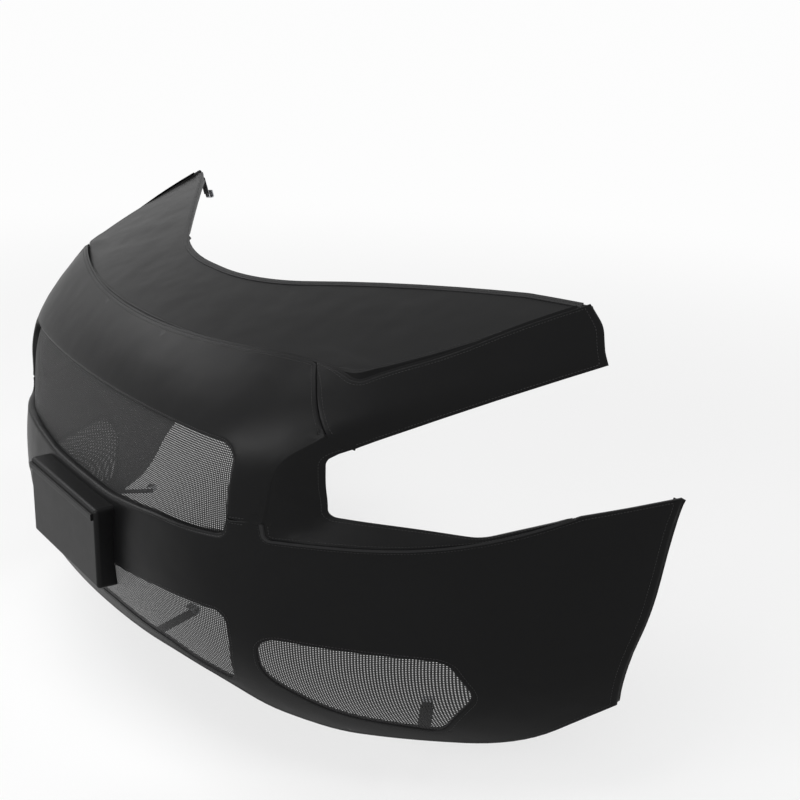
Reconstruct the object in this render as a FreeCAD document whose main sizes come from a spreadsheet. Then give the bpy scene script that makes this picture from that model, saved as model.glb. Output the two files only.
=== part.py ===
import FreeCAD, Part
import math
import os

from FreeCAD import Placement, Rotation, Vector

# Front end cover: a sewn vinyl cover in two pieces, in the shape it takes when it is worn.
# X runs across, with +X the left side of what wears it, Y runs rearwards and Z up, in millimetres.
# The origin is the middle of the edge where the upper and the lower piece meet.

SIZES = (
    ("vinyl", 1.6, "thickness of the vinyl with its napped backing"),
    ("tape", 1.2, "thickness of the binding tape"),
    ("tape_width", 11, "width of the binding tape on the face"),
    ("hem", 14, "width of a hem folded in behind an edge"),
    ("mesh", 0.9, "thickness of the screen mesh"),
    ("mesh_margin", 10, "overlap of a screen behind the vinyl"),
    ("seat", 0.3, "clearance between pieces that only touch"),
    ("wrap", 1.2, "how far a binding stands out past a cut edge"),

    ("hem_level", -692, "height of the lowest station of the front form"),
    ("bumper_level", -292, "height of the bumper station"),
    ("lamp_level", -132, "height of the lamp station"),
    ("hood_level", 68, "height of the highest station"),
    ("hem_back", -45, "setback of the middle at the lowest station"),
    ("lip_level", -592, "height where the lip starts to turn under"),
    ("lip_back", -119, "setback of the middle there"),
    ("crown_level", -392, "height of the most forward point of the middle"),
    ("crown_back", -149, "setback of the most forward point"),
    ("strip_level", -232, "height of the strip behind the grille"),
    ("strip_back", -129, "setback there"),
    ("brow_level", -112, "height of the upper grille edge on the form"),
    ("brow_back", -91, "setback there"),
    ("edge_level", 8, "height of the form just above the hood edge"),
    ("edge_back", 7, "setback there"),
    ("peak_level", 138, "height of the form at its top end"),
    ("peak_back", 145, "setback there"),

    ("hem_bow", 16, "setback 400 mm from the middle, lowest station"),
    ("bumper_bow", 14, "the same, bumper station"),
    ("lamp_bow", 34, "the same, lamp station"),
    ("hood_bow", 50, "the same, highest station"),
    ("hem_corner", 530, "where the front turns into the side, lowest station"),
    ("bumper_corner", 460, "the same, bumper station"),
    ("lamp_corner", 510, "the same, lamp station"),
    ("hood_corner", 590, "the same, highest station"),
    ("hem_round", 120, "softness of that turn, lowest station"),
    ("bumper_round", 70, "the same, bumper station"),
    ("lamp_round", 42, "the same, lamp station"),
    ("hood_round", 50, "the same, highest station"),
    ("hem_sweep", 51, "angle of the side to the front, lowest station"),
    ("bumper_sweep", 50, "the same, bumper station"),
    ("lamp_sweep", 48.5, "the same, lamp station"),
    ("hood_sweep", 53, "the same, highest station"),
    ("arch_turn", 100, "extra setback of the side at the wheel arch"),
    ("arch_x", 915, "half width of the cover at the wheel arch"),
    ("bay", 38, "depth of the bay round the lamp"),
    ("bay_end", 790, "where the bay starts to run out"),
    ("bay_fade", 52, "length over which the bay deepens"),
    ("bay_seat", 4, "how far inside its seams the bay starts to deepen"),
    ("bay_rake", 0.5, "rise of the bay's upper border per length across"),

    ("hood_rise", 0.40, "slope of the hood piece behind its front edge"),
    ("hood_fall", 0.12, "how fast that slope lessens, per metre"),
    ("hood_curve", 0.39, "bow of the hood edge in plan, per metre"),

    ("hood_corner_x", 578, "near corner of the hood piece, across"),
    ("hood_corner_y", 138, "near corner of the hood piece, rearwards"),
    ("hood_corner_r", 45, "radius of that corner"),
    ("hood_front_r", 1240, "radius of the hood piece's front edge"),
    ("hood_front_x", 285, "where the tangents of the front edge meet"),
    ("hood_side_x", 650, "bend of the hood piece's side edge, across"),
    ("hood_side_y", 270, "bend of the side edge, rearwards"),
    ("tip_x", 743, "tip of the hood piece, across"),
    ("tip_y", 516, "tip of the hood piece, rearwards"),
    ("rear_bend_x", 632, "bend of the rear edge beside the tip, across"),
    ("rear_bend_y", 464, "bend of the rear edge, rearwards"),
    ("rear_notch_x", 148, "end of the straight middle of the rear edge"),
    ("rear_notch_y", 172, "depth of the hood piece in the middle"),
    ("hood_hem", 18, "depth of the hem turned down at the front of the hood piece"),
    ("groove", 4, "groove between the two pieces"),
    ("nose_hem", 6, "depth of the corded hem along the top of the lower piece"),
    ("cord", 6, "width of that hem under the lower piece"),

    ("seam_top_x", 498, "upper end of the seam between nose and brow"),
    ("seam_top_z", 24, "height of that end, above the hood edge"),
    ("seam_mid_x", 536, "bend of that seam"),
    ("seam_mid_z", -24, "height of the bend"),
    ("seam_low_x", 580, "lower end of that seam, at the bay"),
    ("seam_low_z", -97, "height of the lower end"),
    ("crease_x", 516, "seam between nose and bay"),
    ("cheek_z", -262, "lower end of the nose panel"),
    ("flap_top_x", 746, "upper rear corner of the brow flap"),
    ("flap_top_z", 113, "height of that corner"),
    ("flap_mid_x", 770, "bend of the flap's rear edge"),
    ("flap_mid_z", 80, "height of the bend"),

    ("lamp_tip_x", 797, "upper rear end of the lamp edge"),
    ("lamp_tip_z", 16, "height of that end"),
    ("lamp_inner_x", 577, "inner end of the lamp opening"),
    ("lamp_inner_top", -140, "upper inner corner of the lamp opening"),
    ("lamp_inner_low", -247, "lower inner corner"),
    ("lamp_dip_x", 757, "lowest point of the lamp's lower edge"),
    ("lamp_dip_z", -269, "height of that point"),
    ("lamp_rise_x", 843, "outer end of the lamp's lower edge"),
    ("lamp_rise_z", -231, "height of that end"),
    ("shoulder_z", -209, "height of the top edge at the wheel arch"),
    ("ledge_z", -297, "height of the ledge seam"),
    ("ledge_split_x", 755, "where the ledge seam starts to rise"),
    ("piping", 2.4, "how far the ledge piping stands out"),
    ("piping_half", 2.2, "half width of the piping"),

    ("grille_half", 472, "half width of the grille opening"),
    ("grille_top", -128, "upper edge of the grille opening"),
    ("grille_low_half", 457, "half width along the lower edge"),
    ("grille_low", -292, "lower edge at the corner"),
    ("grille_sag", -318, "lower edge in the middle"),
    ("grille_round", 36, "radius of the upper corners"),
    ("grille_return", 14, "depth of the lip turned in round the grille opening"),

    ("intake_half", 468, "half width of the lower intake"),
    ("intake_top", -437, "upper edge of the lower intake"),
    ("intake_low", -537, "lower edge in the middle"),
    ("intake_drop", -592, "lower edge at the corner"),
    ("hem_middle", -575, "hem in the middle"),
    ("hem_low", -690, "hem below the fog openings"),
    ("arch_low_x", 893, "lower end of the wheel arch edge"),
    ("arch_low_z", -598, "height of that end"),

    ("fog_inner_x", 512, "inner end of the fog opening"),
    ("fog_top_z", -475, "upper edge, inner end"),
    ("fog_outer_x", 772, "outer end of the fog opening"),
    ("fog_outer_z", -498, "upper edge, outer end"),
    ("fog_low_z", -656, "lower edge"),

    ("pocket_half", 166, "half width of the plate pocket"),
    ("pocket_top", -330, "upper edge of the plate pocket"),
    ("pocket_low", -495, "lower edge of the plate pocket"),
    ("pocket_proud", 32, "how far the pocket stands out in front of the form"),
    ("pocket_round", 8, "radius of the pocket's edges"),
    ("pocket_rim", 10, "vinyl left under the pocket's rim"),
    ("pocket_lip", 14, "height of the rolled lip along the pocket's top"),
    ("lip_stand", 5, "how far that lip stands out"),

    ("webbing_width", 25, "width of the webbing straps"),
    ("webbing", 1.5, "thickness of the webbing"),
    ("strap_tab", 20, "part of a strap sewn to the hem"),
    ("strap_run", 90, "free length of a strap"),
    ("strap_climb", 14, "how far a strap climbs over that length"),
    ("strap_inner_x", 250, "place of the inner straps"),
    ("strap_outer_x", 680, "place of the outer straps"),
    ("tip_strap_x", 690, "place of the straps under the tips of the hood piece"),
    ("tip_strap_run", 44, "free length of those straps"),
    ("hook_steel", 1.8, "thickness of a hook"),
    ("hook_width", 20, "width of a hook"),
    ("hook_shank", 22, "length of a hook's shank"),
    ("hook_depth", 13, "depth of a hook's bend"),
    ("hook_round", 4.5, "radius of a hook's bends"),

    ("arch_return", 24, "width of the flange turned into the wheel arch"),
    ("eyelet_hole", 3.5, "radius of the eyelets"),
    ("eyelet_rim", 7, "radius of an eyelet's rim"),
    ("eyelet_wall", 0.7, "thickness of an eyelet's metal"),
    ("eyelet_z", -400, "height of the eyelet"),
)

REACH = 1500.0
FORM_STEP = 42.0
BAY_STEP = 30.0
HOOD_STEP = 90.0
FORM_EDGE = 940.0
FORM_TAIL = 14.0
PLAN_FLOOR = 40.0
BOW_AT = 400.0
ARCH_POWER = 12
FRONT = "front"
PLAN = "plan"
SIDE = "side"

doc = FreeCAD.newDocument("front_end_cover")
sheet = doc.addObject("Spreadsheet::Sheet", "sizes")
for row, (alias, value, note) in enumerate(SIZES, 1):
    sheet.set(f"A{row}", note)
    sheet.set(f"B{row}", str(value))
    sheet.setAlias(f"B{row}", alias)
doc.recompute()

size = {alias: float(sheet.get(alias)) for alias, _, _ in SIZES}
nodes = {}


def smooth(share):
    """Ease from 0 to 1."""
    share = min(max(share, 0.0), 1.0)
    return share * share * (3 - 2 * share)


# The form that the lower piece is stretched over

STATIONS = ("hem", "bumper", "lamp", "hood")
LEVELS = [size[name + "_level"] for name in STATIONS]


def station(name, height):
    """A size of the four stations, blended at a height."""
    values = [size[f"{level}_{name}"] for level in STATIONS]
    result = values[0]
    for low, high, below, above in zip(LEVELS, LEVELS[1:], values, values[1:]):
        result += (above - below) * smooth((height - low) / (high - low))
    return result


def middle_profile():
    """The form's curve in the middle plane, with the height as its parameter."""
    names = ("hem", "lip", "crown", "strip", "brow", "edge", "peak")
    points = [Vector(0, size[n + "_back"], size[n + "_level"]) for n in names]
    curve = Part.BSplineCurve()
    curve.interpolate(Points=points, Parameters=[p.z for p in points])
    return curve


PROFILE = middle_profile()


def softened_ramp(x, corner, softness, sweep):
    """A flat that turns softly into a slope of the sweep angle."""
    def rise(value):
        share = (value - corner) / softness
        return math.log1p(math.exp(-abs(share))) + max(share, 0.0)
    return math.tan(math.radians(sweep)) * softness * (rise(x) - rise(0.0))


def bay_depth(x, z):
    """The hollow round the lamp. It starts just inside its seams, from the ledge and from the nose."""
    rise = size["ledge_z"] + size["bay_seat"] + max(x - size["ledge_split_x"] + 100, 0) ** 2 / 520
    knee = size["seam_low_z"] - 45
    inner = (size["crease_x"] + size["bay_seat"] + 0.18 * (z - size["cheek_z"]) + 0.75 * max(z - knee, 0))
    brow = knee + (x - size["seam_low_x"]) * size["bay_rake"]
    across = smooth((x - inner) / size["bay_fade"]) * (1 - smooth((x - size["bay_end"]) / 80))
    return size["bay"] * across * smooth((z - rise) / size["bay_fade"]) * (1 - smooth((z - brow) / 60))


def front_setback(x, z):
    """Setback of the front form, without the bays, at a place in the front view."""
    across = abs(x)
    turn = softened_ramp(across, station("corner", z), station("round", z), station("sweep", z))
    bow = station("bow", z) * (across / BOW_AT) ** 2
    arch = size["arch_turn"] * (across / size["arch_x"]) ** ARCH_POWER
    return PROFILE.value(z).y + bow + turn + arch


def bay_setback(x, z):
    """Setback of the front form with the bay on the left side."""
    return front_setback(x, z) + bay_depth(x, z)


def hood_height(x, y):
    """Height of the hood form at a place in plan."""
    behind = y - size["hood_curve"] / 1000 * x * x
    return size["hood_rise"] * behind - size["hood_fall"] / 1000 * behind * behind


def front_point(x, z, depth=0.0, setback=front_setback):
    """A point of the front form, or below its face."""
    step = 1.0
    slope_x = (setback(x + step, z) - setback(x - step, z)) / (2 * step)
    slope_z = (setback(x, z + step) - setback(x, z - step)) / (2 * step)
    return Vector(x, setback(x, z), z) + Vector(-slope_x, 1, -slope_z).normalize() * depth


def bay_point(x, z, depth=0.0):
    """A point of the front form with its bay, or below its face."""
    return front_point(x, z, depth, bay_setback)


def hood_point(x, y, depth=0.0):
    """A point of the hood form, or below its face."""
    step = 1.0
    slope_x = (hood_height(x + step, y) - hood_height(x - step, y)) / (2 * step)
    slope_y = (hood_height(x, y + step) - hood_height(x, y - step)) / (2 * step)
    return Vector(x, y, hood_height(x, y)) + Vector(slope_x, slope_y, -1).normalize() * depth


def evenly(start, stop, step):
    """Evenly spaced places from start to stop."""
    count = max(4, int(round((stop - start) / step)))
    return [start + (stop - start) * i / count for i in range(count + 1)]


def span(start, stop, step):
    """Even places from start to stop, with two more beyond each end."""
    count = int(round((stop - start) / step))
    gap = (stop - start) / count
    return [start + gap * i for i in range(-2, count + 3)]


FRONT_GRID = (span(-FORM_EDGE, FORM_EDGE, FORM_STEP),
              span(size["hem_level"] - FORM_TAIL, size["peak_level"] + FORM_TAIL, FORM_STEP))
BAY_GRID = (span(size["seam_top_x"] - 70, FORM_EDGE, BAY_STEP),
            span(size["ledge_z"] - 30, size["peak_level"] + FORM_TAIL, BAY_STEP))
HOOD_GRID = (span(-size["tip_x"] - FORM_STEP, size["tip_x"] + FORM_STEP, HOOD_STEP),
             span(-FORM_STEP, size["tip_y"] + FORM_STEP, HOOD_STEP))


def spline_surface(point, grid, depth):
    """A smooth cubic surface along the form's points at one depth, with poles corrected for their curve."""
    points = [[point(a, b, depth) for b in grid[1]] for a in grid[0]]
    columns = range(1, len(grid[0]) - 1)
    rows = range(1, len(grid[1]) - 1)
    poles = [[(points[i][j] * 10 - points[i - 1][j] - points[i + 1][j]
               - points[i][j - 1] - points[i][j + 1]) * (1 / 6) for j in rows] for i in columns]
    surface = Part.BSplineSurface()
    u_knots = list(range(len(poles) + 4))
    v_knots = list(range(len(poles[0]) + 4))
    surface.buildFromPolesMultsKnots(poles, [1] * len(u_knots), [1] * len(v_knots), u_knots, v_knots,
                                     False, False, 3, 3)
    surface.segment(3, len(poles), 3, len(poles[0]))
    return surface


def layer(name, point, grid, start, stop):
    """A closed sheet of the form between two depths."""
    outer = spline_surface(point, grid, start)
    inner = spline_surface(point, grid, stop)
    faces = [outer.toShape(), inner.toShape()]
    u0, u1, v0, v1 = outer.bounds()
    for upper, lower in ((outer.uIso(u0), inner.uIso(u0)), (outer.uIso(u1), inner.uIso(u1)),
                         (outer.vIso(v0), inner.vIso(v0)), (outer.vIso(v1), inner.vIso(v1))):
        faces.append(Part.makeRuledSurface(upper.toShape(), lower.toShape()))
    shell = Part.makeShell(faces)
    shell.sewShape()
    solid = Part.makeSolid(shell)
    if solid.Volume < 0:
        solid.reverse()
    feature = doc.addObject("Part::Feature", name)
    feature.Shape = solid
    return feature


# Outlines: corners as (a, b) or (a, b, radius), joined by lines and arcs

def place(corner):
    return corner[0], corner[1]


def radius(corner):
    return corner[2] if len(corner) > 2 else 0.0


def unit(start, end):
    length = math.dist(start, end)
    return (end[0] - start[0]) / length, (end[1] - start[1]) / length


def shifted(path, offset):
    """The same path moved sideways, to its left where offset is positive."""
    places = [place(p) for p in path]
    ways = [unit(a, b) for a, b in zip(places, places[1:])]
    result = []
    for i, ((a, b), bend) in enumerate(zip(places, map(radius, path))):
        before = ways[max(i - 1, 0)]
        after = ways[min(i, len(ways) - 1)]
        half = (before[0] + after[0], before[1] + after[1])
        length = math.hypot(*half)
        normal = (-half[1] / length, half[0] / length)
        spread = normal[1] * after[0] - normal[0] * after[1]
        turn = before[0] * after[1] - before[1] * after[0]
        moved = max(bend - math.copysign(offset, turn * offset), 0.4) if bend else 0.0
        result.append((a + normal[0] * offset / spread, b + normal[1] * offset / spread, moved))
    return result


def extended(path, start=0.0, end=0.0):
    """The same path with its ends run on."""
    first = unit(place(path[1]), place(path[0]))
    last = unit(place(path[-2]), place(path[-1]))
    return ([(path[0][0] + first[0] * start, path[0][1] + first[1] * start)] + list(path[1:-1])
            + [(path[-1][0] + last[0] * end, path[-1][1] + last[1] * end)])


def band(path, left, right):
    """A closed outline along an open path, from left of it to right of it."""
    return shifted(path, left) + shifted(path, -right)[::-1]


def ring(path, growth):
    """A closed outline grown, or shrunk where growth is negative."""
    turn = sum(a[0] * b[1] - b[0] * a[1] for a, b in zip(path, path[1:] + path[:1]))
    around = [path[-1]] + list(path) + [path[0]]
    return shifted(around, -growth if turn > 0 else growth)[1:-1]


def mirrored(path):
    """A path over both sides, from its half on the left side."""
    return list(path) + [(-p[0],) + tuple(p[1:]) for p in reversed(path)]


def on_view(point, view):
    a, b = point
    return {FRONT: Vector(a, 0, b), PLAN: Vector(a, b, 0), SIDE: Vector(0, a, b)}[view]


def closed_wire(path, view):
    """Lines and arcs round a closed outline."""
    spans = []
    for i, corner in enumerate(path):
        here, bend = place(corner), radius(corner)
        if not bend:
            spans.append((here, None, here))
            continue
        before = unit(here, place(path[i - 1]))
        after = unit(here, place(path[(i + 1) % len(path)]))
        half = math.acos(max(-1.0, min(1.0, before[0] * after[0] + before[1] * after[1]))) / 2
        reach = bend / math.tan(half)
        depth = bend / math.sin(half) - bend
        toward = unit((0, 0), (before[0] + after[0], before[1] + after[1]))
        spans.append(((here[0] + before[0] * reach, here[1] + before[1] * reach),
                      (here[0] + toward[0] * depth, here[1] + toward[1] * depth),
                      (here[0] + after[0] * reach, here[1] + after[1] * reach)))
    edges = []
    for i, (start, middle, end) in enumerate(spans):
        if middle:
            arc = Part.Arc(on_view(start, view), on_view(middle, view), on_view(end, view))
            edges.append(arc.toShape())
        following = spans[(i + 1) % len(spans)][0]
        if math.dist(end, following) > 1e-6:
            edges.append(Part.LineSegment(on_view(end, view), on_view(following, view)).toShape())
    return Part.Wire(edges)


def outline(name, path, view):
    feature = doc.addObject("Part::Feature", name + "_outline")
    feature.Shape = closed_wire(path, view)
    return feature


def prism(name, path, view):
    """A closed outline run straight through the form."""
    solid = doc.addObject("Part::Extrusion", name + "_prism")
    solid.Base = outline(name, path, view)
    solid.DirMode = "Custom"
    solid.Dir = Vector(0, 1, 0) if view == FRONT else Vector(0, 0, 1)
    solid.LengthFwd = REACH
    solid.LengthRev = REACH if view == FRONT else PLAN_FLOOR
    solid.Solid = True
    return solid


def together(name, parts):
    """Separate tools held as one."""
    group = doc.addObject("Part::Compound", name)
    group.Links = parts
    return group


def common(name, base, tool):
    result = doc.addObject("Part::Common", name)
    result.Base = base
    result.Tool = tool
    return result


def cut(name, base, tool):
    result = doc.addObject("Part::Cut", name)
    result.Base = base
    result.Tool = tool
    return result


def cut_all(name, base, tools):
    """Base without any of several tools."""
    for number, tool in enumerate(tools[:-1], 1):
        base = cut(f"{name}_{number}", base, tool)
    return cut(name, base, tools[-1])


def mirror(name, source):
    """The same piece on the other side."""
    result = doc.addObject("Part::Mirroring", name)
    result.Source = source
    result.Normal = Vector(1, 0, 0)
    return result


def node(name, feature):
    """Record a finished piece under the name of its file."""
    feature.Label = name
    nodes[name] = feature
    return feature


def pair(name, left):
    """A left piece and its mirror image."""
    node(name + "_left", left)
    node(name + "_right", mirror(name + "_right", left))
    return left


def both_sides(name, left):
    """One node that holds a piece and its mirror image."""
    return node(name, together(name, [left, mirror(name + "_other", left)]))


# Paths in plan, from the left tip to the right one

HOOD_FRONT = mirrored([(size["tip_x"], size["tip_y"]), (size["hood_side_x"], size["hood_side_y"], 900),
                       (size["hood_corner_x"], size["hood_corner_y"], size["hood_corner_r"]),
                       (size["hood_front_x"], -2, size["hood_front_r"])])
HOOD_REAR = mirrored([(size["tip_x"], size["tip_y"]), (size["rear_bend_x"], size["rear_bend_y"], 80),
                      (size["rear_notch_x"], size["rear_notch_y"], 470)])

# Paths in the front view, on the left side

FLAP_REAR = [(size["flap_top_x"], size["flap_top_z"]), (size["flap_mid_x"], size["flap_mid_z"], 120),
             (size["lamp_tip_x"], size["lamp_tip_z"])]
LAMP_EDGE = [(size["lamp_tip_x"], size["lamp_tip_z"]),
             (size["lamp_inner_x"], size["lamp_inner_top"], 26),
             (size["lamp_inner_x"], size["lamp_inner_low"], 14),
             (size["lamp_dip_x"], size["lamp_dip_z"], 40),
             (size["lamp_rise_x"], size["lamp_rise_z"], 24),
             (size["arch_x"], size["shoulder_z"])]
SEAM = [(size["seam_top_x"], size["seam_top_z"]), (size["seam_mid_x"], size["seam_mid_z"], 200),
        (size["seam_low_x"], size["seam_low_z"])]
FLAP_HEM = extended(FLAP_REAR, -24, -14)
LAMP_HEM = extended(LAMP_EDGE, -40, -4)
CREASE = [(size["seam_low_x"], size["seam_low_z"]), (size["crease_x"] + 22, -142, 70),
          (size["crease_x"], size["cheek_z"])]
LEDGE = [(size["crease_x"], size["cheek_z"]), (size["crease_x"] + 4, size["ledge_z"] + 5, 13),
         (640, size["ledge_z"], 500), (size["ledge_split_x"], size["ledge_z"] + 5, 300),
         (size["lamp_rise_x"] + 5, size["lamp_rise_z"] + 4)]
ARCH_EDGE = [(size["arch_x"], size["shoulder_z"]), (size["arch_x"] - 4, -430, 600),
             (size["arch_low_x"], size["arch_low_z"])]
HEM = [(size["arch_low_x"], size["arch_low_z"]), (790, size["hem_low"], 160), (572, size["hem_low"], 130),
       (482, size["hem_low"] + 38, 120), (428, size["hem_middle"] - 28, 160), (330, size["hem_middle"], 300)]

GRILLE = mirrored([(130, size["grille_sag"] + 5, 500), (300, size["grille_low"] - 3, 400),
                   (size["grille_low_half"], size["grille_low"], 11),
                   (size["grille_half"], size["grille_top"], size["grille_round"])])
INTAKE = mirrored([(140, size["intake_low"], 300), (320, size["intake_low"] - 13, 200),
                   (size["intake_half"] - 16, size["intake_drop"], 12),
                   (size["intake_half"], size["intake_top"] - 70, 150),
                   (size["intake_half"], size["intake_top"] - 3, 24),
                   (340, size["intake_top"] + 3, 300), (160, size["intake_top"] - 12, 300)])
FOG = [(size["fog_inner_x"], -560, 60), (size["fog_inner_x"] + 4, size["fog_top_z"], 34),
       (745, size["fog_outer_z"], 30), (size["fog_outer_x"], -570, 40),
       (718, size["fog_low_z"], 26), (600, size["fog_low_z"] + 22, 150)]
POCKET = [(size["pocket_half"], size["pocket_top"]), (-size["pocket_half"], size["pocket_top"]),
          (-size["pocket_half"], size["pocket_low"]), (size["pocket_half"], size["pocket_low"])]

# Layers of the two forms

vinyl = size["vinyl"]
tape = size["tape"]
mesh = size["mesh"]
lip = size["grille_return"]
front_vinyl = layer("front_vinyl", front_point, FRONT_GRID, 0, vinyl)
front_hem = layer("front_hem", front_point, FRONT_GRID, vinyl, 2 * vinyl)
front_mesh = layer("front_mesh", front_point, FRONT_GRID, vinyl, vinyl + mesh)
front_lip = layer("front_lip", front_point, FRONT_GRID, vinyl, lip)
lip_mesh = layer("lip_mesh", front_point, FRONT_GRID, lip, lip + mesh)
bay_vinyl = layer("bay_vinyl", bay_point, BAY_GRID, 0, vinyl)
bay_hem = layer("bay_hem", bay_point, BAY_GRID, vinyl + size["seat"], 2 * vinyl + size["seat"])
front_cord = layer("front_cord", front_point, FRONT_GRID, vinyl, size["nose_hem"])
front_piping = layer("front_piping", front_point, FRONT_GRID, -size["piping"], 0)
front_core = layer("front_core", front_point, FRONT_GRID, vinyl, 80)
hood_vinyl = layer("hood_vinyl", hood_point, HOOD_GRID, 0, vinyl)
hood_tape = layer("hood_tape", hood_point, HOOD_GRID, -tape, vinyl + tape)
hood_lip = layer("hood_lip", hood_point, HOOD_GRID, vinyl, size["hood_hem"])

# Upper piece

hood_shape = prism("hood", HOOD_FRONT + HOOD_REAR[::-1][1:-1], PLAN)
hood_panel = node("hood_panel", common("hood_panel", hood_vinyl, hood_shape))
front_turn = prism("hood_hem", band(extended(HOOD_FRONT, -14, -14), 0, vinyl), PLAN)
hood_front_hem = node("hood_front_hem", common("hood_front_hem", hood_lip, front_turn))
rear_band = prism("hood_binding", band(extended(HOOD_REAR, -18, -18), size["tape_width"], size["wrap"]), PLAN)
rear_tape = common("rear_tape", hood_tape, rear_band)
hood_rear_binding = node("hood_rear_binding", cut("hood_rear_binding", rear_tape, hood_panel))

# Openings and edges of the lower piece

side_run = extended(FLAP_REAR, 60)[:2]
SIDE_OPEN = side_run + LAMP_EDGE + [(REACH, size["shoulder_z"]), (REACH, REACH), (side_run[0][0], REACH)]
side_open = prism("side_opening", SIDE_OPEN, FRONT)
side_open_other = mirror("side_opening_other", side_open)
groove_path = shifted(extended(HOOD_FRONT, 160, 160), size["groove"])
groove_cut = prism("groove", groove_path + [(-REACH, REACH), (REACH, REACH)], PLAN)
grille_hole = prism("grille", GRILLE, FRONT)
intake_hole = prism("intake", INTAKE, FRONT)
pocket_hole = prism("pocket_inside", ring(POCKET, -size["pocket_rim"]), FRONT)
fog_hole = prism("fog", FOG, FRONT)
fog_hole_other = mirror("fog_other", fog_hole)

above = size["peak_level"] + REACH
inside_grille = size["grille_low_half"] - 60
NOSE = mirrored([(size["seam_top_x"] - 60, above)] + extended(SEAM, 60) + CREASE[1:]
                + [(inside_grille, size["cheek_z"])])
nose_whole = common("nose_whole", front_vinyl, prism("nose", NOSE, FRONT))
nose_panel = node("nose_panel", cut_all("nose_panel", nose_whole, [groove_cut, grille_hole]))

BROW = extended(SEAM, 60) + [(size["lamp_inner_x"] + 40, size["seam_low_z"] - 40), (REACH, size["lamp_tip_z"] - 60),
                             (REACH, above), (size["seam_top_x"] - 60, above)]
brow_whole = common("brow_whole", bay_vinyl, prism("brow", BROW, FRONT))
brow = pair("brow_panel", cut_all("brow_panel_left", brow_whole, [groove_cut, side_open]))

BAY = CREASE + LEDGE[1:] + [(size["lamp_rise_x"] + 5, size["lamp_rise_z"] + 80),
                            (size["lamp_inner_x"] + 40, size["seam_low_z"] - 40)]
bay_whole = common("bay_whole", bay_vinyl, prism("bay", BAY, FRONT))
bay_panel = pair("lamp_bay_panel", cut("lamp_bay_panel_left", bay_whole, side_open))

BUMPER = mirrored([(inside_grille, size["cheek_z"])] + LEDGE
                  + [(size["arch_x"], size["shoulder_z"] + 60)] + ARCH_EDGE[1:] + HEM[1:])
bumper_whole = common("bumper_whole", front_vinyl, prism("bumper", BUMPER, FRONT))
YOKE = [(size["pocket_half"], size["ledge_z"] + 60), (-size["pocket_half"], size["ledge_z"] + 60),
        (-size["pocket_half"], size["pocket_top"] - size["pocket_rim"] - 1),
        (size["pocket_half"], size["pocket_top"] - size["pocket_rim"] - 1)]
yoke_shape = prism("yoke", YOKE, FRONT)
bumper_cuts = [grille_hole, intake_hole, pocket_hole, fog_hole, fog_hole_other, side_open, side_open_other]
bumper_panel = node("bumper_panel", cut_all("bumper_panel", bumper_whole, bumper_cuts + [yoke_shape]))
yoke_whole = common("yoke_whole", bumper_whole, yoke_shape)
pocket_yoke = node("pocket_yoke", cut_all("pocket_yoke", yoke_whole, [grille_hole, pocket_hole]))

cord_band = band(extended(HOOD_FRONT, -30, -30), size["groove"] + size["cord"], -size["seat"])
cord_raw = common("cord_raw", front_cord, prism("nose_cord", cord_band, PLAN))
nose_cord = node("nose_top_hem", cut("nose_top_hem", cord_raw, hood_front_hem))

both_sides("flap_hems", common("flap_hem", bay_hem, prism("flap_hem", band(FLAP_HEM, 0, size["hem"]), FRONT)))
both_sides("lamp_hems", common("lamp_hem", bay_hem, prism("lamp_hem", band(LAMP_HEM, 0, size["hem"]), FRONT)))
pipe_band = band(extended(LEDGE, 0, -12), size["piping_half"], size["piping_half"])
both_sides("ledge_piping", common("ledge_pipe", front_piping, prism("ledge_pipe", pipe_band, FRONT)))
hem_band = prism("bottom_hem", band(mirrored(extended(HEM, -30)), 0, size["hem"]), FRONT)
bottom_fold = common("bottom_fold", front_hem, hem_band)

# Screens and the grille's lip

lip_band = cut("lip_ring", prism("grille_lip", ring(GRILLE, vinyl), FRONT), grille_hole)
node("grille_lip", common("grille_lip", front_lip, lip_band))
screen_shape = prism("grille_screen", ring(GRILLE, vinyl + size["mesh_margin"] / 2), FRONT)
node("grille_screen", common("grille_screen", lip_mesh, screen_shape))
fog_shape = prism("fog_screen", ring(FOG, size["mesh_margin"]), FRONT)
fog_mesh = common("fog_mesh", front_mesh, fog_shape)
intake_shape = prism("intake_screen", ring(INTAKE, size["mesh_margin"]), FRONT)
intake_mesh = common("intake_mesh", front_mesh, intake_shape)
bottom_hem = node("bottom_hem", cut("bottom_hem", bottom_fold, intake_shape))
behind_pocket = prism("behind_pocket", ring(POCKET, -vinyl), FRONT)
intake_screen = cut("intake_screen", intake_mesh, behind_pocket)
node("lower_screens", together("lower_screens", [intake_screen, fog_mesh, mirror("fog_mesh_other", fog_mesh)]))

# Plate pocket: a box with a flat front, open to the rear

pocket_front = size["crown_back"] - size["pocket_proud"]


def pocket_block(name, path, start):
    """A block behind the pocket's front, with rounded front edges."""
    block = doc.addObject("Part::Extrusion", name)
    block.Base = outline(name, path, FRONT)
    block.DirMode = "Custom"
    block.Dir = Vector(0, 1, 0)
    block.LengthFwd = size["pocket_proud"] + 70
    block.Solid = True
    block.Placement = Placement(Vector(0, start, 0), Rotation())
    return block


def rounded(name, base, radius_):
    """The block with its front edges and the edges that run back from them rounded."""
    doc.recompute()
    front = base.Shape.BoundBox.YMin
    chosen = []
    for number, edge in enumerate(base.Shape.Edges, 1):
        if min(v.Y for v in edge.Vertexes) < front + 1e-3:
            chosen.append((number, radius_, radius_))
    fillet = doc.addObject("Part::Fillet", name)
    fillet.Base = base
    fillet.Edges = chosen
    return fillet


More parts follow.
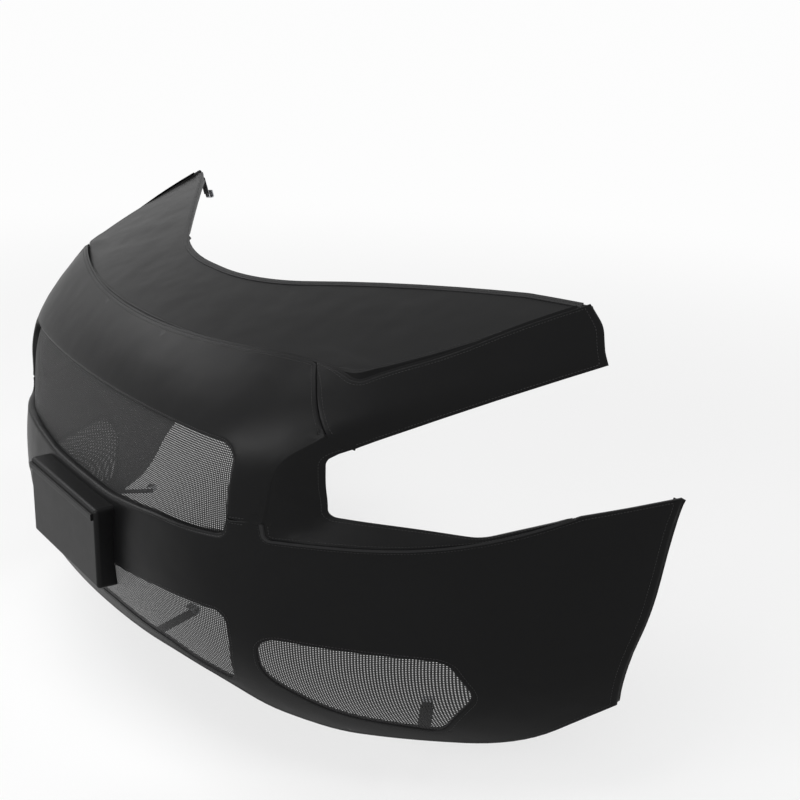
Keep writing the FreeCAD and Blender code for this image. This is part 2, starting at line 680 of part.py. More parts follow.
pocket_solid = rounded("pocket_round", pocket_block("pocket_block", POCKET, pocket_front), size["pocket_round"])
pocket_void = rounded("pocket_void_round",
                      pocket_block("pocket_void", ring(POCKET, -vinyl), pocket_front + vinyl),
                      size["pocket_round"] - vinyl)
pocket_shell = cut("pocket_shell", pocket_solid, pocket_void)
pocket_walls = cut("pocket_walls", pocket_shell, front_core)
plate_pocket = node("plate_pocket", cut_all("plate_pocket", pocket_walls, [bumper_panel, pocket_yoke]))

LIP = [(-size["lip_stand"], 0, 2.4), (-size["lip_stand"], size["pocket_lip"], 2.4),
       (0, size["pocket_lip"]), (0, 0)]
pocket_lip = doc.addObject("Part::Extrusion", "pocket_lip")
pocket_lip.Base = outline("pocket_lip", LIP, SIDE)
pocket_lip.DirMode = "Custom"
pocket_lip.Dir = Vector(1, 0, 0)
pocket_lip.setExpression("LengthFwd", "sizes.pocket_half - sizes.pocket_round")
pocket_lip.setExpression("LengthRev", "sizes.pocket_half - sizes.pocket_round")
pocket_lip.Solid = True
lip_height = size["pocket_top"] - size["pocket_round"] - size["pocket_lip"]
pocket_lip.Placement = Placement(Vector(0, pocket_front, lip_height), Rotation())
node("pocket_lip", pocket_lip)

# Flange in each wheel arch, with its eyelets


def arch_place(z):
    """The arch edge at a height, in the front view."""
    low, middle = ARCH_EDGE[2], ARCH_EDGE[1]
    top = ARCH_EDGE[0]
    lower, upper = (low, middle) if z < middle[1] else (middle, top)
    share = (z - lower[1]) / (upper[1] - lower[1])
    return lower[0] + share * (upper[0] - lower[0])


def arch_flange():
    """A strip turned in behind the arch edge of the panel."""
    heights = evenly(size["arch_low_z"] + 8, size["shoulder_z"] - 8, 90)
    rails = []
    for inset in (0.0, size["arch_return"]):
        curve = Part.BSplineCurve()
        curve.interpolate([Vector(arch_place(z) - 1.5 - inset, front_setback(arch_place(z), z) + 2 * vinyl, z)
                           for z in heights])
        rails.append(curve.toShape())
    return Part.makeRuledSurface(*rails).extrude(Vector(0, vinyl, 0))


flange_raw = doc.addObject("Part::Feature", "flange_raw")
flange_raw.Shape = arch_flange()


def eyelet_frame(z):
    """Where an eyelet sits in the flange."""
    x = arch_place(z) - 1.5 - size["arch_return"] / 2
    here = front_setback(arch_place(z), z)
    lean = math.degrees(math.atan2(front_setback(arch_place(z + 1), z + 1)
                                   - front_setback(arch_place(z - 1), z - 1), 2))
    return Placement(Vector(x, here + 2 * vinyl + vinyl / 2, z), Rotation(Vector(1, 0, 0), -90 - lean))


def turned(name, radius_, half, placement):
    """A round bar or disc centred on a place."""
    solid = doc.addObject("Part::Cylinder", name)
    solid.Radius = radius_
    solid.Height = 2 * half
    solid.Placement = placement * Placement(Vector(0, 0, -half), Rotation())
    return solid


eyelet_place = eyelet_frame(size["eyelet_z"])
barrel = size["eyelet_hole"] + size["eyelet_wall"]
outside = vinyl / 2 + size["seat"] + size["eyelet_wall"]
eyelet_disc = turned("eyelet_disc", size["eyelet_rim"], outside, eyelet_place)
eyelet_gap = turned("eyelet_gap", size["eyelet_rim"] + 2, outside - size["eyelet_wall"], eyelet_place)
eyelet_waist = cut("eyelet_waist", eyelet_gap, turned("eyelet_barrel", barrel, 2 * outside, eyelet_place))
eyelet_hole = turned("eyelet_hole", size["eyelet_hole"], 2 * outside, eyelet_place)
eyelet_bore = turned("eyelet_bore", barrel + size["seat"], 3 * outside, eyelet_place)
both_sides("arch_eyelets", cut_all("eyelet", eyelet_disc, [eyelet_waist, eyelet_hole]))
both_sides("arch_flanges", cut_all("arch_flange", flange_raw, [bumper_panel, eyelet_bore]))

# Straps and hooks, each drawn in its own upright plane


def strip(name, path, thickness, width, placement):
    """A flat strip bent along a path in the upright plane, as wide as its name in the sheet says."""
    solid = doc.addObject("Part::Extrusion", name)
    solid.Base = outline(name, band(path, thickness, 0), SIDE)
    solid.DirMode = "Custom"
    solid.Dir = Vector(1, 0, 0)
    solid.setExpression("LengthFwd", f"sizes.{width} / 2")
    solid.setExpression("LengthRev", f"sizes.{width} / 2")
    solid.Solid = True
    solid.Placement = placement
    return solid


def hook_path(end, before):
    """A hook's path, from its shank under the strap's end round its two bends."""
    way = unit(before, end)
    side = (-way[1], way[0])
    def at(along, up):
        return end[0] + way[0] * along + side[0] * up, end[1] + way[1] * along + side[1] * up
    bend = size["hook_round"]
    return [at(-size["hook_shank"], 0), at(bend * 2.5, 0) + (bend,), at(bend * 2.5, size["hook_depth"]) + (bend,),
            at(-size["hook_shank"] / 3, size["hook_depth"])]


def hem_height(x):
    """Height of the bottom hem at a place across."""
    corners = sorted((place(p) for p in HEM), key=lambda p: p[0])
    if x <= corners[0][0]:
        return corners[0][1]
    for (a, za), (b, zb) in zip(corners, corners[1:]):
        if x <= b:
            return za + (zb - za) * (x - a) / (b - a)


hooks = []
for label, across in (("inner", size["strap_inner_x"]), ("outer", size["strap_outer_x"])):
    low = hem_height(across) + 3
    facing = math.degrees(math.atan2(front_setback(across + 1, low) - front_setback(across - 1, low), 2))
    foot = front_point(across, low, 2 * vinyl + size["seat"])
    high = front_point(across, low + size["strap_tab"], 2 * vinyl + size["seat"])
    turn_in = math.radians(facing)
    lean = (high - foot).x * -math.sin(turn_in) + (high - foot).y * math.cos(turn_in)
    end = (size["strap_run"], size["strap_climb"])
    path = [(lean, high.z - foot.z), (0, 0, 4), end]
    frame = Placement(foot, Rotation(Vector(0, 0, 1), facing))
    pair(f"strap_{label}", strip(f"strap_{label}_left", path, size["webbing"], "webbing_width", frame))
    hook = hook_path(end, (0, 0))
    hooks.append(strip(f"hook_{label}", hook, -size["hook_steel"], "hook_width", frame))

tip_x = size["tip_strap_x"]
rear_way = unit((size["rear_bend_x"], size["rear_bend_y"]), (size["tip_x"], size["tip_y"]))
rear_y = size["rear_bend_y"] + (tip_x - size["rear_bend_x"]) * rear_way[1] / rear_way[0]
under = vinyl + tape + size["seat"]
tab_end = hood_point(tip_x, rear_y - size["strap_tab"], under)
edge_end = hood_point(tip_x, rear_y - 3, under)
tip_end = (8, -size["tip_strap_run"])
tip_path = [(tab_end.y - edge_end.y, tab_end.z - edge_end.z), (0, 0, 4), tip_end]
tip_lean = math.atan2(hood_height(tip_x + 1, rear_y) - hood_height(tip_x - 1, rear_y), 2)
tip_frame = Placement(edge_end, Rotation(Vector(0, 1, 0), -math.degrees(tip_lean)))
pair("tip_strap", strip("tip_strap_left", tip_path, -size["webbing"], "webbing_width", tip_frame))
hooks.append(strip("hook_tip", hook_path(tip_end, (0, 0)), size["hook_steel"], "hook_width", tip_frame))
hook_side = together("hooks_one_side", hooks)
node("strap_hooks", together("strap_hooks", [hook_side, mirror("hooks_other_side", hook_side)]))

doc.recompute()

for feature in doc.Objects:
    if "Invalid" in feature.State or "Error" in feature.State:
        raise RuntimeError(f"{feature.Name} did not build: {feature.State}")
for name, feature in nodes.items():
    shape = feature.Shape
    if shape.isNull() or not shape.isValid() or shape.Volume <= 0:
        raise RuntimeError(f"{name} has no valid shape")

os.makedirs("parts", exist_ok=True)
for name, feature in nodes.items():
    feature.Shape.exportStep(f"parts/{name}.step")
    print(name, len(feature.Shape.Solids), round(feature.Shape.Volume / 1000, 2), "cm3")
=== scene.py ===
import math
from collections import namedtuple

import bmesh
import bpy
import numpy as np
from mathutils import Matrix, Vector, noise
from mathutils.bvhtree import BVHTree
from mathutils.kdtree import KDTree


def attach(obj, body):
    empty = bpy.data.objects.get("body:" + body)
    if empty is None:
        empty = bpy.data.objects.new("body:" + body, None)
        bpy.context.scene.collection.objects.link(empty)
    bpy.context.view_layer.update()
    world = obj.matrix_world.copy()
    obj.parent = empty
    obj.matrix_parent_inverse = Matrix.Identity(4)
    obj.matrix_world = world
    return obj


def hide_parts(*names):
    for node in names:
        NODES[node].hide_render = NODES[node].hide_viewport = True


bl_info = {
    "name": "Front end cover",
    "version": (1, 0, 0),
    "blender": (4, 5, 0),
    "location": "View3D > Sidebar > Cover",
    "description": "Dresses a sewn vinyl cover with its seams, bindings, screens, straps and hooks",
    "category": "Object",
}

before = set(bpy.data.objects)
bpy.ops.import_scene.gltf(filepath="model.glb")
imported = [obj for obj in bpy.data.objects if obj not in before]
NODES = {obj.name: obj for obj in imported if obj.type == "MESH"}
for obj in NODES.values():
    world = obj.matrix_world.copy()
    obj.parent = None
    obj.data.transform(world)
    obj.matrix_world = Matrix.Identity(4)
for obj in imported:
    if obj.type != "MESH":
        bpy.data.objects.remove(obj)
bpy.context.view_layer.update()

MM = 0.001
SIDES = ("left", "right")

# A view that a panel is laid flat in: the axis of its heights, the sign of the side that shows, and the
# two axes of the flat
View = namedtuple("View", "axis sign across along")
FRONT = View(axis=1, sign=-1, across=0, along=2)
PLAN = View(axis=2, sign=1, across=0, along=1)

# A vinyl panel: its name, the CAD nodes that give its face, its view, the hems that it stands for too,
# its flat width and length in metres, and the area of its cloth in square metres
Panel = namedtuple("Panel", "name nodes view hems flat area")


# Sizes and colours that a user would change

class CoverSizes(bpy.types.PropertyGroup):
    """Sizes of the sewn details."""
    grid: bpy.props.FloatProperty(
        name="Cloth grid", description="Spacing of the cloth's mesh",
        default=9 * MM, unit="LENGTH")
    vinyl: bpy.props.FloatProperty(
        name="Vinyl", description="Thickness of the vinyl with its backing",
        default=1.6 * MM, unit="LENGTH")
    seam_roll: bpy.props.FloatProperty(
        name="Seam roll", description="Radius with which a panel turns in at a seam",
        default=1.9 * MM, unit="LENGTH")
    stitch: bpy.props.FloatProperty(
        name="Stitch", description="Length of one stitch",
        default=4.2 * MM, unit="LENGTH")
    stitch_gap: bpy.props.FloatProperty(
        name="Stitch gap", description="Space between stitches",
        default=1.6 * MM, unit="LENGTH")
    thread: bpy.props.FloatProperty(
        name="Thread", description="Thickness of the thread",
        default=0.9 * MM, unit="LENGTH")
    mesh_pitch: bpy.props.FloatProperty(
        name="Mesh pitch", description="Distance of the rows of holes in the screens",
        default=3.6 * MM, unit="LENGTH")
    lip_roll: bpy.props.FloatProperty(
        name="Grille roll", description="Radius with which the vinyl turns in round the grille opening",
        default=10 * MM, unit="LENGTH")
    lip_depth: bpy.props.FloatProperty(
        name="Grille lip", description="Depth of the vinyl turned in round the grille opening",
        default=13 * MM, unit="LENGTH")
    ripple: bpy.props.FloatProperty(
        name="Ripple", description="Height of the slack ripples in the vinyl",
        default=0.9 * MM, unit="LENGTH")
    floor_drop: bpy.props.FloatProperty(
        name="Floor", description="Height of the hood's edge over the ground",
        default=0.792, unit="LENGTH")


class CoverColours(bpy.types.PropertyGroup):
    """Colours of the cover and of the studio."""
    vinyl: bpy.props.FloatVectorProperty(
        name="Vinyl", description="Face of the vinyl",
        default=(0.0030, 0.0030, 0.0032), subtype="COLOR")
    backing: bpy.props.FloatVectorProperty(
        name="Backing", description="Napped back of the vinyl",
        default=(0.035, 0.035, 0.037), subtype="COLOR")
    tape: bpy.props.FloatVectorProperty(
        name="Tape", description="Binding tape",
        default=(0.006, 0.006, 0.0063), subtype="COLOR")
    thread: bpy.props.FloatVectorProperty(
        name="Thread", description="Sewing thread",
        default=(0.008, 0.008, 0.008), subtype="COLOR")
    mesh: bpy.props.FloatVectorProperty(
        name="Mesh", description="Screen mesh",
        default=(0.004, 0.004, 0.0042), subtype="COLOR")
    webbing: bpy.props.FloatVectorProperty(
        name="Webbing", description="Straps",
        default=(0.014, 0.014, 0.015), subtype="COLOR")
    steel: bpy.props.FloatVectorProperty(
        name="Steel", description="Plated hooks",
        default=(0.55, 0.56, 0.58), subtype="COLOR")
    eyelet: bpy.props.FloatVectorProperty(
        name="Eyelets", description="Blackened eyelets",
        default=(0.10, 0.095, 0.09), subtype="COLOR")
    floor: bpy.props.FloatVectorProperty(
        name="Floor", description="Studio floor",
        default=(0.86, 0.86, 0.86), subtype="COLOR")


# Shader expressions

class Socket:
    """A node socket that takes part in expressions."""

    def __init__(self, tree, socket):
        self.tree = tree
        self.socket = socket

    def math(self, operation, *others):
        """A Math node with this socket as its first value."""
        return self.tree.math(operation, self, *others)

    def __add__(self, other):
        return self.math("ADD", other)

    def __radd__(self, other):
        return self.math("ADD", other)

    def __sub__(self, other):
        return self.math("SUBTRACT", other)

    def __rsub__(self, other):
        return self.tree.math("SUBTRACT", other, self)

    def __mul__(self, other):
        return self.math("MULTIPLY", other)

    def __rmul__(self, other):
        return self.math("MULTIPLY", other)

    def above(self, edge, softness):
        """0 below the edge, 1 above it, with a soft step."""
        step = {"interpolation_type": "SMOOTHSTEP", "clamp": True}
        span = {"Value": self, "From Min": edge - softness, "From Max": edge + softness}
        return self.tree.make("ShaderNodeMapRange", step, span)[0]


class Finish:
    """The look of a material or of the world, under construction."""

    def __init__(self, owner, output="ShaderNodeOutputMaterial"):
        self.owner = owner
        owner.use_nodes = True
        self.nodes = owner.node_tree.nodes
        self.links = owner.node_tree.links
        self.nodes.clear()
        self.output = self.nodes.new(output)

    def set(self, socket, value):
        """Link a socket to another, or give it a constant."""
        if isinstance(value, Socket):
            self.links.new(value.socket, socket)
        else:
            socket.default_value = value

    def make(self, kind, settings=None, inputs=None):
        """A node with its settings made first and then its sockets; returns its outputs."""
        new = self.nodes.new(kind)
        for name, value in (settings or {}).items():
            setattr(new, name, value)
        for name, value in (inputs or {}).items():
            self.set(new.inputs[name], value)
        return [Socket(self, output) for output in new.outputs if output.enabled]

    def place(self):
        """Object coordinates, in metres."""
        return self.make("ShaderNodeTexCoord")[3]

    def math(self, operation, *values):
        """A Math node over sockets and numbers."""
        return self.make("ShaderNodeMath", {"operation": operation}, dict(enumerate(values)))[0]

    def noise(self, scale, detail, rough):
        """Noise over the object, from 0 to 1."""
        inputs = {"Vector": self.place(), "Scale": scale, "Detail": detail, "Roughness": rough}
        return self.make("ShaderNodeTexNoise", None, inputs)[0]

    def cells(self, scale, feature):
        """Distances in a pattern of cells."""
        inputs = {"Vector": self.place(), "Scale": scale}
        return self.make("ShaderNodeTexVoronoi", {"feature": feature}, inputs)[0]

    def blend(self, low, high, share):
        """A colour between two others."""
        return self.make("ShaderNodeMix", {"data_type": "RGBA"},
                         {0: share, 6: self.paint(low), 7: self.paint(high)})[0]

    def paint(self, colour):
        """A colour as a socket takes it."""
        return colour if isinstance(colour, Socket) else (*colour[:3], 1.0)

    def bump(self, height, strength, distance, after=None):
        """Relief from a height, on top of another relief if one is given."""
        inputs = {"Height": height, "Strength": strength, "Distance": distance}
        if after:
            inputs["Normal"] = after
        return self.make("ShaderNodeBump", None, inputs)[0]

    def surface(self, **inputs):
        """The finish's own shader, from values and sockets by name."""
        named = {name.replace("_", " "): value for name, value in inputs.items()}
        if "Base Color" in named:
            named["Base Color"] = self.paint(named["Base Color"])
        self.show(self.make("ShaderNodeBsdfPrincipled", None, named)[0])
        return self.owner

    def show(self, shader):
        """Make this shader the one that is seen."""
        self.links.new(shader.socket, self.output.inputs["Surface"])

    def seen(self):
        """1 for the rays that show a thing itself, in a mirror or through glass, and 0 for the rest."""
        rays = self.make("ShaderNodeLightPath")
        direct, mirrored, through = rays[0], rays[3], rays[6]
        return direct.math("MAXIMUM", mirrored).math("MAXIMUM", through)


def shade(colour, factor):
    """A darker or lighter colour."""
    return tuple(channel * factor for channel in colour[:3])


def vinyl_finish(colours):
    """Satin vinyl with a fine grain and a slightly uneven gloss."""
    look = Finish(bpy.data.materials.new("vinyl face"))
    grain = look.cells(900, "SMOOTH_F1")
    pores = look.cells(420, "DISTANCE_TO_EDGE")
    broad = look.noise(7, 3, 0.55)
    fine = look.noise(46, 3, 0.6)
    mottle = broad * 0.6 + fine * 0.4
    colour = look.blend(shade(colours.vinyl, 0.8), shade(colours.vinyl, 1.25), mottle)
    rough = 0.30 + broad * 0.08 + fine * 0.05 + grain * 0.04
    creases = look.bump(fine, 0.08, 0.0010)
    folds = look.bump(broad, 0.12, 0.005, creases)
    pitted = look.bump(pores.above(0.10, 0.10), 0.10, 0.0002, folds)
    grained = look.bump(grain, 0.14, 0.0003, pitted)
    return look.surface(Base_Color=colour, Roughness=rough, Normal=grained, Specular_IOR_Level=0.11)


def backing_finish(colours):
    """Napped felt on the back of the vinyl."""
    look = Finish(bpy.data.materials.new("felt backing"))
    nap = look.noise(420, 4, 0.7)
    clumps = look.noise(34, 3, 0.6)
    mottle = nap * 0.55 + clumps * 0.45
    colour = look.blend(shade(colours.backing, 0.7), shade(colours.backing, 1.5), mottle)
    return look.surface(Base_Color=colour, Roughness=0.95, Normal=look.bump(nap, 0.5, 0.0008),
                        Specular_IOR_Level=0.15, Sheen_Weight=0.25, Sheen_Roughness=0.6)


def tape_finish(colours):
    """Ribbed binding tape."""
    look = Finish(bpy.data.materials.new("binding tape"))
    weave = look.cells(1300, "F1")
    wear = look.noise(60, 3, 0.6)
    colour = look.blend(shade(colours.tape, 0.8), shade(colours.tape, 1.7), wear)
    relief = look.bump(weave, 0.35, 0.0004)
    return look.surface(Base_Color=colour, Roughness=0.44 + wear * 0.14, Normal=relief,
                        Specular_IOR_Level=0.2)


def thread_finish(colours):
    """Twisted sewing thread."""
    look = Finish(bpy.data.materials.new("thread"))
    twist = look.noise(2400, 2, 0.5)
    colour = look.blend(shade(colours.thread, 0.7), shade(colours.thread, 1.6), twist)
    return look.surface(Base_Color=colour, Roughness=0.6, Normal=look.bump(twist, 0.3, 0.0002))


def mesh_finish(colours):
    """Fine knitted mesh with rows of small round holes."""
    look = Finish(bpy.data.materials.new("screen mesh"))
    x, _, z = look.make("ShaderNodeSeparateXYZ", None, {0: look.place()})
    turns = math.pi / bpy.context.scene.cover_sizes.mesh_pitch
    weave = ((x * turns).math("SINE") * (z * turns).math("SINE")).math("ABSOLUTE")
    openings = weave.above(0.78, 0.09)
    uneven = look.noise(9, 3, 0.6)
    colour = look.blend(shade(colours.mesh, 0.8), shade(colours.mesh, 1.5), uneven)
    return look.surface(Base_Color=colour, Roughness=0.55, Alpha=1 - openings * 0.82,
                        Normal=look.bump(weave, 0.5, -0.0006), Specular_IOR_Level=0.3)


def webbing_finish(colours):
    """Woven webbing with ribs across it."""
    look = Finish(bpy.data.materials.new("webbing"))
    ribs = look.make("ShaderNodeTexWave", {"wave_type": "BANDS", "bands_direction": "DIAGONAL"},
                     {"Vector": look.place(), "Scale": 160, "Distortion": 0.4})[0]
    fuzz = look.noise(300, 3, 0.6)
    colour = look.blend(shade(colours.webbing, 0.7), shade(colours.webbing, 1.8), ribs * 0.5 + fuzz * 0.5)
    return look.surface(Base_Color=colour, Roughness=0.8, Normal=look.bump(ribs, 0.5, 0.0006),
                        Sheen_Weight=0.15)


def steel_finish(colours):
    """Zinc plated steel with a faint brushed grain."""
    look = Finish(bpy.data.materials.new("plated steel"))
    spots = look.noise(90, 4, 0.6)
    brushed = look.noise(700, 2, 0.5)
    colour = look.blend(shade(colours.steel, 0.75), colours.steel, spots)
    return look.surface(Base_Color=colour, Metallic=1.0, Roughness=0.26 + spots * 0.16,
                        Normal=look.bump(brushed, 0.1, 0.0002))


def eyelet_finish(colours):
    """Blackened brass, rubbed through in places."""
    look = Finish(bpy.data.materials.new("blackened eyelet"))
    rub = look.noise(240, 3, 0.6)
    colour = look.blend(shade(colours.eyelet, 0.6), shade(colours.eyelet, 1.8), rub.above(0.55, 0.2))
    return look.surface(Base_Color=colour, Metallic=0.9, Roughness=0.36 + rub * 0.14)


RECIPES = {"vinyl": vinyl_finish, "backing": backing_finish, "tape": tape_finish, "thread": thread_finish,
           "mesh": mesh_finish, "webbing": webbing_finish, "steel": steel_finish, "eyelet": eyelet_finish}
FINISHES = {}                   # the mixed materials by name


# Cloth laid on the shape of a CAD node, with lengths in metres

WELD = 0.02 * MM                # points of the CAD faces that are nearer than this are one
NIB = 0.001 * MM                # an edge shorter than this is none
SLIVER = 1e-12                  # a face smaller than this, in square metres, is none
FACING = 0.06                   # a face shows if its normal points this much towards the view
EVEN_ANGLE = 0.004              # faces in the flat within this angle, in radians, become one
RIM = (0.9 * MM, 1.2 * MM, 1.7 * MM, 2.2 * MM, 4.0 * MM)    # widths between the loops along an edge
REACH = [sum(RIM[:count]) for count in range(len(RIM) + 1)]     # distance of each loop from the edge
STITCH_LOOP = 4                 # the stitches follow this loop
MITRE = 0.75                    # a corner's loops are mitred down to this cosine
ROOM_SHARE = 0.42               # share of the way to the opposite edge that the loops may take
REACH_RUN = 0.08                # length of edge along which the loops may widen from nothing to full
REACH_ROUNDS = 40
SCREEN_GRID = 1.4               # a screen's cells, as compared with the vinyl's
LINE_SHARE = 0.002              # an edge within this share of a cell lies on a line of the grid
FAR_OUT = 5.0                   # rays to the form start this far from it
SHORT = 0.3 * MM                # a shorter edge pulls no harder than this in the smoothing
OUTLINE_ROUNDS = 3
SMOOTH_ROUNDS = 36
RELAX = 0.5                     # each round moves a point this share of the way to its neighbours
RESTORE = -0.52                 # and this share back, so that the form doesn't shrink
CRISP = math.radians(50)        # an edge sharper than this stays sharp

SEAM_BLEND = 15 * MM            # edges this near share their outward direction
SEAM_AGREE = 0.2                # unless it departs from the panel's own by more than this cosine
SEAM_SEARCH = 7 * MM            # panels this near meet at a seam
SEAM_TOUCH = 4 * MM             # edges this near touch
EVEN_ROUNDS = 3                 # rounds in which the turns are evened out along an edge
FLAT_JOINTS = ({"nose", "bumper"}, {"brow", "bay"}, {"nose", "bay"})    # the vinyl runs on flat here
FLAT_BELOW = 0.4 * MM           # a turn shallower than this is a flat joint
LIP_REACH = (4 * MM, 10.4 * MM)         # the grille's roll fades within this, at a flat joint and elsewhere
LIP_START = 1.25                # and the fading starts a quarter of it away from the lip
ALLOWANCE = 5 * MM              # seam allowance turned in
SEAM_LEAN = 1.2 * MM            # and leant towards the next panel
UNDERLAP = 4 * MM               # allowance laid under the next panel at a flat joint
UNDERLAP_DROP = 1.2 * MM        # and how deep it lies
FLANGE_NEAR = 8 * MM            # an edge this near the arch flange is sewn to it
FLANGE_HOLD = 0.8 * MM          # and goes this far into it
SLACK = ((13, (0, 0, 0), 1.0), (31, (7, 3, 1), 0.6))    # ripples: how many in a metre, shift, height
CALM_RUN = 0.03                 # ripples grow over this distance from an edge
# Small folds where the vinyl is drawn round a corner: middle, direction, length, width and height
GATHERS = (((0.540, 0.134, 0.006), (1, 0.30, 0.0), 0.035, 0.009, 0.0026),
           ((0.515, 0.146, 0.014), (1, 0.25, 0.0), 0.040, 0.010, 0.0020),
           ((0.565, 0.156, 0.008), (1, 0.45, 0.0), 0.040, 0.010, 0.0016),
           ((0.550, 0.040, -0.222), (0.3, 0.9, -0.45), 0.040, 0.011, 0.0045),
           ((0.548, 0.030, -0.250), (0.3, 0.9, -0.30), 0.035, 0.010, 0.0035))

STITCH_PATHS = []               # rows laid out by the panels, to be sewn at the end
STITCH_RINGS = ((-1.0, 0.0), (-0.62, 1.0), (0.62, 1.0), (1.0, 0.0))     # place along it and width
STITCH_ROUND = ((1, 0), (0, 0.8), (-1, 0), (0, -0.8))                   # corners across it
TAPE_LIFT = 30 * MM             # the tape is looked for this far above a row of stitches


def plain_mesh(node):
    """Points and faces of a CAD node."""
    data = NODES[node].data
    return [v.co.copy() for v in data.vertices], [tuple(p.vertices) for p in data.polygons]


def axis_vector(number, length=1.0):
    """A vector along one of the axes."""
    return Vector([length if i == number else 0.0 for i in range(3)])


class Cloth:
    """A panel's outer face, cut to an even grid and laid back on the form."""

    def __init__(self, name, nodes, view):
        self.name = name
        self.axis, self.sign, self.across, self.along = view
        self.shape = bmesh.new()
        self.met = set()            # edge points where the panel touches the next one
        self.joined = set()         # points at a flat joint
        self.lean = {}              # how far an edge point leans out to the arch flange
        for node in nodes:
            self.shape.from_mesh(NODES[node].data)
        bmesh.ops.remove_doubles(self.shape, verts=self.shape.verts, dist=WELD)
        hidden = [f for f in self.shape.faces
                  if f.normal[self.axis] * self.sign <= FACING or f.calc_area() <= SLIVER]
        bmesh.ops.delete(self.shape, geom=hidden, context="FACES")
        self.form = BVHTree.FromBMesh(self.shape)
        self.flatten()

    def flatten(self):
        """Lay the face flat, remembering the height of its outline."""
        shape = self.shape
        self.gap = shape.verts.layers.float.new("gap")
        outline = np.array([[v.co[:] for v in e.verts] for e in shape.edges if e.is_boundary])
        self.starts = outline[:, 0][:, [self.across, self.along, self.axis]]
        self.spans = outline[:, 1][:, [self.across, self.along, self.axis]] - self.starts
        for vert in shape.verts:
            vert.co[self.axis] = 0.0
        bmesh.ops.dissolve_degenerate(shape, dist=NIB, edges=shape.edges)
        bmesh.ops.dissolve_limit(shape, angle_limit=EVEN_ANGLE, verts=shape.verts, edges=shape.edges)

    def inward(self):
        """For each edge point, which way the panel lies and how far its loops may reach."""
        shape = self.shape
        shape.edges.ensure_lookup_table()
        lines = []
        ways = {}
        for edge in shape.edges:
            if not edge.is_boundary:
                continue
            loop = edge.link_loops[0]
            a, b = loop.vert.co, loop.link_loop_next.vert.co
            turn = loop.face.normal.cross(b - a).normalized()
            lines.append((a.copy(), b.copy()))
            for vert in edge.verts:
                ways.setdefault(vert, []).append(turn)
        starts = np.array([line[0][:] for line in lines])[:, [self.across, self.along]]
        ends = np.array([line[1][:] for line in lines])[:, [self.across, self.along]]
        result = {}
        for vert, turns in ways.items():
            way = sum(turns, Vector()).normalized()
            mitre = 1.0 / max(way.dot(turns[0]), MITRE)
            room = free_run(vert.co, way, starts, ends, (self.across, self.along))
            result[vert] = (vert.co.copy(), way * mitre, min(1.0, ROOM_SHARE * room / REACH[-1]))
        for _ in range(REACH_ROUNDS):
            for edge in (e for e in shape.edges if e.is_boundary):
                for one, other in (edge.verts, reversed(edge.verts)):
                    limit = result[one][2] + edge.calc_length() / REACH_RUN
                    if limit < result[other][2]:
                        result[other] = (*result[other][:2], limit)
        return result

    def rim(self):
        """Loops along every edge, for the roll of the vinyl and its stitches."""
        outer = self.inward()
        inner = list(self.shape.faces)
        for number in range(1, len(RIM) + 1):
            made = bmesh.ops.inset_region(self.shape, faces=inner, thickness=0.0, use_boundary=True)
            within = {vert for face in inner for vert in face.verts}
            moved = {}
            for face in made["faces"]:
                face.material_index = number
                for edge in face.edges:
                    one, other = edge.verts if edge.verts[0] in within else reversed(edge.verts)
                    if one in within and other not in within:
                        moved[one] = outer.get(one) or outer.get(other)
            for vert, (start, way, share) in moved.items():
                vert.co = start + way * share * REACH[number]
                vert[self.gap] = share * REACH[number]
            outer = moved

    def grid(self, step):
        """Cut the face into even cells."""
        shape = self.shape
        for axis in (self.across, self.along):
            low = min(v.co[axis] for v in shape.verts)
            high = max(v.co[axis] for v in shape.verts)
            normal = axis_vector(axis)
            line = math.floor(low / step) * step + step * 0.5
            while line < high:
                if line > low:
                    geometry = shape.verts[:] + shape.edges[:] + shape.faces[:]
                    bmesh.ops.bisect_plane(shape, geom=geometry, dist=NIB, plane_co=normal * line,
                                           plane_no=normal)
                line += step
        self.drop_loose_cuts(step)

    def on_line(self, edge, step):
        """True if the edge lies on a line of the grid."""
        a, b = (v.co for v in edge.verts)
        for axis in (self.across, self.along):
            if abs(a[axis] - b[axis]) < 2 * NIB:
                share = (a[axis] / step - 0.5) % 1.0
                if min(share, 1.0 - share) < LINE_SHARE:
                    return True
        return False

    def drop_loose_cuts(self, step):
        """Dissolve the cuts that are neither grid nor rim."""
        loose = []
        for edge in self.shape.edges:
            if len(edge.link_faces) == 2 and not self.on_line(edge, step):
                one, other = edge.link_faces
                if one.material_index == other.material_index:
                    loose.append(edge)
        bmesh.ops.dissolve_edges(self.shape, edges=loose, use_verts=False)

    def outline_height(self, point):
        """Height of the outline where it passes nearest to a point in the flat."""
        gap = np.array([point[self.across], point[self.along]]) - self.starts[:, :2]
        flat = self.spans[:, :2]
        length_squared = np.maximum((flat * flat).sum(axis=1), 1e-14)
        share = np.clip((gap * flat).sum(axis=1) / length_squared, 0.0, 1.0)
        nearest = np.argmin(((gap - flat * share[:, None]) ** 2).sum(axis=1))
        return float(self.starts[nearest, 2] + self.spans[nearest, 2] * share[nearest])

    def lay(self):
        """Put every point back on the form."""
        way = axis_vector(self.axis, -float(self.sign))
        for vert in self.shape.verts:
            start = vert.co.copy()
            start[self.axis] = self.sign * FAR_OUT
            hit = None if vert.is_boundary else self.form.ray_cast(start, way)[0]
            vert.co[self.axis] = hit[self.axis] if hit else self.outline_height(vert.co)

